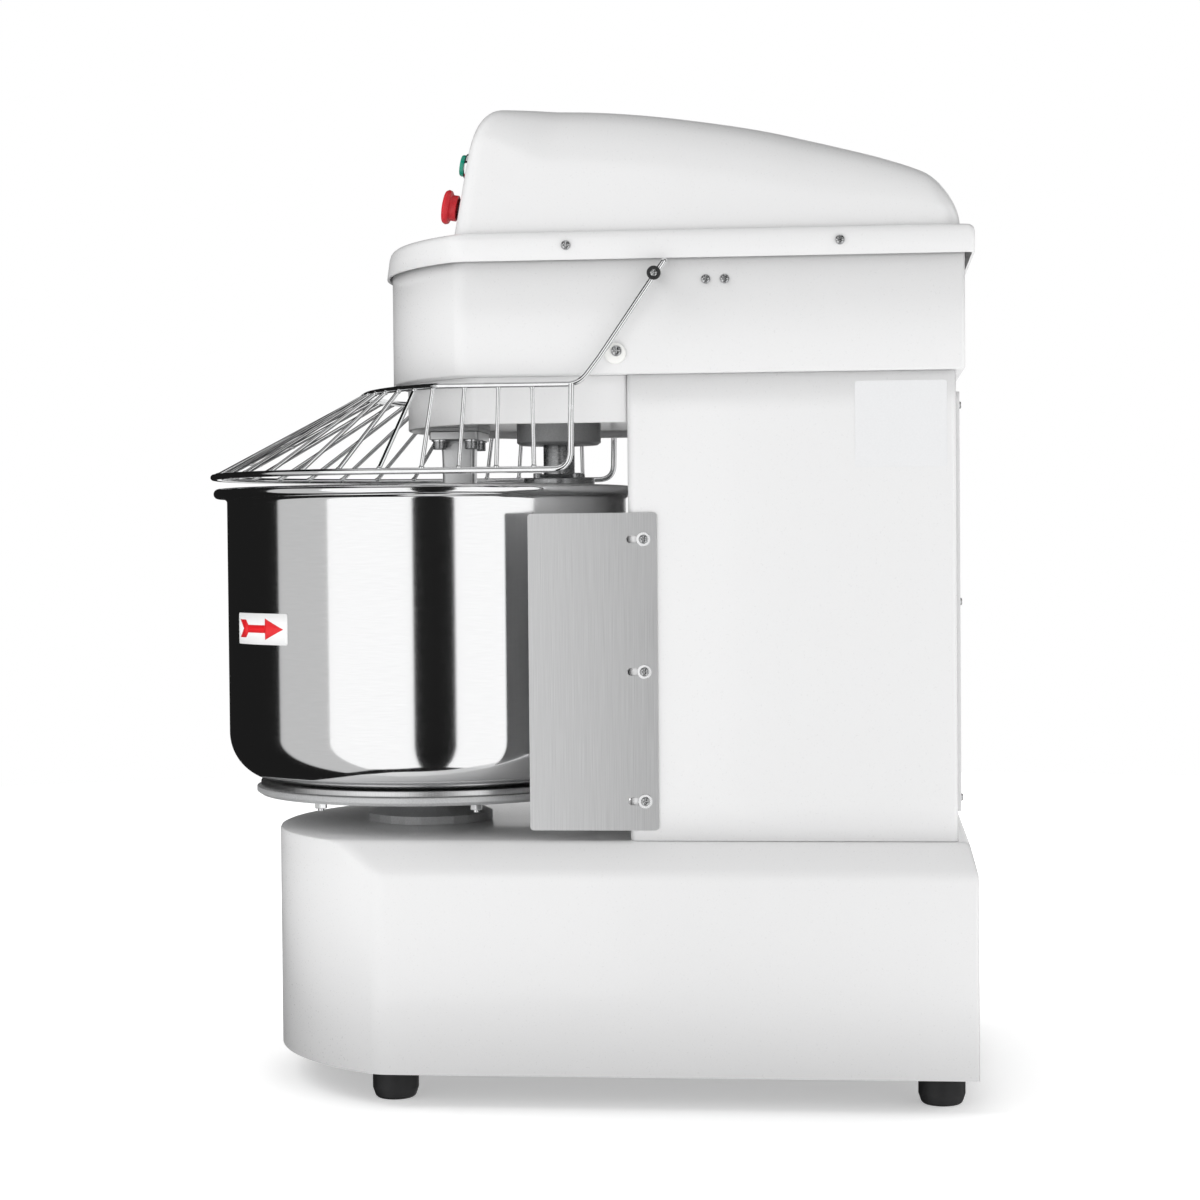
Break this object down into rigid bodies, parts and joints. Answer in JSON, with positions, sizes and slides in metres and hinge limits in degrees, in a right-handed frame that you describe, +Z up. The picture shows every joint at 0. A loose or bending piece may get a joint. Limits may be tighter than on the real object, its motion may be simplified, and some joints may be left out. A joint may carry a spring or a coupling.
{
  "type": "spiral dough mixer",
  "caption": "Floor-standing spiral dough mixer with a turning steel bowl, a spiral hook, a breaker bar, a hinged wire guard and a white casing.",
  "frame": {"origin": "on the floor, under the middle of the machine's outline", "axes": "+Z up, the bowl faces -Y, the start and stop buttons are on the +X side"},
  "size_m": [0.53, 0.9158, 1.14],
  "materials": {
    "powder_coat": "white gloss powder coat",
    "polished_steel": "mirror-polished stainless steel",
    "brushed_steel": "vertically brushed stainless steel",
    "chrome_wire": "bright chrome plate",
    "cast_grey": "machined grey casting",
    "machined_steel": "oiled machined steel",
    "black_rubber": "matt black rubber",
    "black_plastic": "black moulded plastic",
    "white_plastic": "white moulded plastic",
    "red_plastic": "red moulded plastic",
    "green_plastic": "green moulded plastic",
    "motor_paint": "blue-grey machine paint"
  },
  "bodies": {
    "frame": {"base_shell": "powder_coat", "column_shell": "powder_coat", "rear_panel": "powder_coat", "head_box": "powder_coat", "mixing_head_frame": "powder_coat", "top_cover": "powder_coat", "side_plate_left": "brushed_steel", "side_plate_right": "brushed_steel", "breaker_bar": "brushed_steel", "cover_screw_left_front": "chrome_wire", "cover_screw_left_rear": "chrome_wire", "cover_screw_right_front": "chrome_wire", "cover_screw_right_rear": "chrome_wire", "start_button_bezel": "chrome_wire", "spiral_bearing_lower": "chrome_wire", "spiral_bearing_upper": "chrome_wire", "bowl_bearing_housing": "cast_grey", "spiral_bearing_housing": "cast_grey", "breaker_adapter_plate": "cast_grey", "main_bearing_lower": "cast_grey", "main_bearing_upper": "cast_grey", "chassis_plate": "machined_steel", "motor_mount_plate": "machined_steel", "spiral_chain": "machined_steel", "bowl_chain": "machined_steel", "foot_front_left": "black_rubber", "foot_front_right": "black_rubber", "foot_rear_left": "black_rubber", "foot_rear_right": "black_rubber", "drive_belt": "black_rubber", "stop_button_collar": "black_plastic", "speed_selector_bezel": "black_plastic", "cable_gland": "black_plastic", "control_box": "black_plastic", "guard_switch": "black_plastic", "guard_stop_left": "white_plastic", "guard_stop_right": "white_plastic", "motor_body": "motor_paint"},
    "bowl": {"bowl": "polished_steel", "bowl_seat_ring": "brushed_steel", "bowl_turntable": "cast_grey", "bowl_shaft": "machined_steel", "bowl_sprocket": "machined_steel"},
    "spiral": {"spiral_hook": "polished_steel", "spiral_shaft": "machined_steel", "spiral_sprocket": "machined_steel"},
    "main_shaft": {"main_shaft": "machined_steel", "main_pulley": "cast_grey", "main_sprocket_upper": "machined_steel", "main_sprocket_lower": "machined_steel"},
    "motor_rotor": {"motor_rotor": "machined_steel", "motor_pulley": "cast_grey"},
    "guard": {"wire_guard": "chrome_wire", "guard_pin_left": "chrome_wire", "guard_pin_right": "chrome_wire", "guard_collar_left": "black_plastic", "guard_collar_right": "black_plastic"},
    "start_button": {"start_button": "green_plastic"},
    "stop_button": {"stop_button": "red_plastic"},
    "speed_knob": {"speed_selector_knob": "black_plastic"}
  },
  "joints": [
    {"name": "bowl_spin", "type": "hinge", "parent": "frame", "child": "bowl", "pos_m": [0, -0.195, 0.351], "axis": [0, 0, 1], "continuous": true},
    {"name": "spiral_spin", "type": "hinge", "parent": "frame", "child": "spiral", "pos_m": [0, -0.033, 0.7], "axis": [0, 0, 1], "continuous": true},
    {"name": "main_shaft_spin", "type": "hinge", "parent": "frame", "child": "main_shaft", "pos_m": [0, 0.2, 0.5], "axis": [0, 0, 1], "continuous": true},
    {"name": "motor_spin", "type": "hinge", "parent": "frame", "child": "motor_rotor", "pos_m": [0, 0.345, 0.5], "axis": [0, 0, 1], "continuous": true},
    {"name": "guard_tilt", "type": "hinge", "parent": "frame", "child": "guard", "pos_m": [0, 0.1044, 0.933], "axis": [-1, 0, 0], "range_deg": [0, 75]},
    {"name": "start_button_press", "type": "slide", "parent": "frame", "child": "start_button", "axis": [0, 0.9845, -0.1754], "range_m": [0, 0.004], "stiffness_N_per_m": 400},
    {"name": "stop_button_press", "type": "slide", "parent": "frame", "child": "stop_button", "axis": [0, 0.9845, -0.1754], "range_m": [0, 0.005], "stiffness_N_per_m": 600},
    {"name": "speed_selector_turn", "type": "hinge", "parent": "frame", "child": "speed_knob", "pos_m": [-0.185, -0.11431, 1.045], "axis": [0, -0.9845, 0.1754], "range_deg": [-45, 45]}
  ],
  "couplings": [
    {"joint": "spiral_spin", "follows": "bowl_spin", "ratio": 4},
    {"joint": "main_shaft_spin", "follows": "bowl_spin", "ratio": 10},
    {"joint": "motor_spin", "follows": "bowl_spin", "ratio": 37.037}
  ]
}
